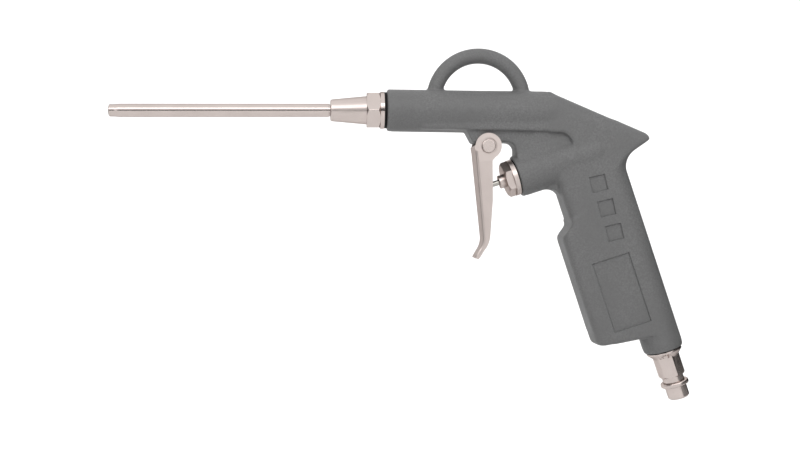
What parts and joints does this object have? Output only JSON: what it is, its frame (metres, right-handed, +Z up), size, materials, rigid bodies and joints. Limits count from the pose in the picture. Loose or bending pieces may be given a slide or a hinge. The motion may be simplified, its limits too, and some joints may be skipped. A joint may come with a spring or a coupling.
{
  "type": "pneumatic air duster",
  "caption": "Compressed-air duster gun with a long straight nozzle, a hang loop, a sheet-metal trigger working a poppet valve, and a quick-coupler plug under the grip.",
  "frame": {"origin": "centre of the nozzle's outlet, on its front face", "axes": "+X runs back along the nozzle and the barrel towards the grip, +Z is up towards the hang loop, and +Y is to the right when the nozzle points away from the user"},
  "size_m": [0.2608, 0.0188, 0.158],
  "materials": {
    "cast_body": "fine-textured grey powder coat on an aluminium die casting",
    "nickel": "bright nickel plating on brass and steel",
    "rubber": "black nitrile rubber",
    "brass": "turned brass",
    "steel": "stainless steel",
    "white_plastic": "fluoropolymer"
  },
  "bodies": {
    "gun": {"body_casting": "cast_body", "nozzle_tube": "nickel", "nozzle_adapter": "nickel", "nozzle_ring": "rubber", "trigger_pin": "nickel", "valve_cap": "nickel", "valve_cap_ring": "rubber", "stem_guide": "nickel", "gland_washer": "white_plastic", "stem_ring_seal": "rubber", "skirt_ring_seal": "rubber", "valve_seat": "brass", "valve_spring": "steel", "spring_foot": "brass", "inlet_plug": "nickel", "inlet_ring_seal": "rubber"},
    "trigger": {"trigger_lever": "nickel"},
    "poppet": {"valve_stem": "steel", "poppet_seal": "rubber", "poppet_washer": "brass", "stem_clip": "steel"}
  },
  "joints": [
    {"name": "trigger_pull", "type": "hinge", "parent": "gun", "child": "trigger", "pos_m": [0.1698, 0, -0.01655], "axis": [0, -1, 0], "range_deg": [0, 10], "stiffness_Nm_per_rad": 0.9, "springref_deg": -14.32},
    {"name": "stem_slide", "type": "slide", "parent": "gun", "child": "poppet", "axis": [0.9505, 0, 0.3107], "range_m": [0, 0.0031], "deforming": ["valve_spring"]}
  ],
  "couplings": [
    {"joint": "stem_slide", "follows": "trigger_pull", "m_per_rad": 0.017628}
  ]
}
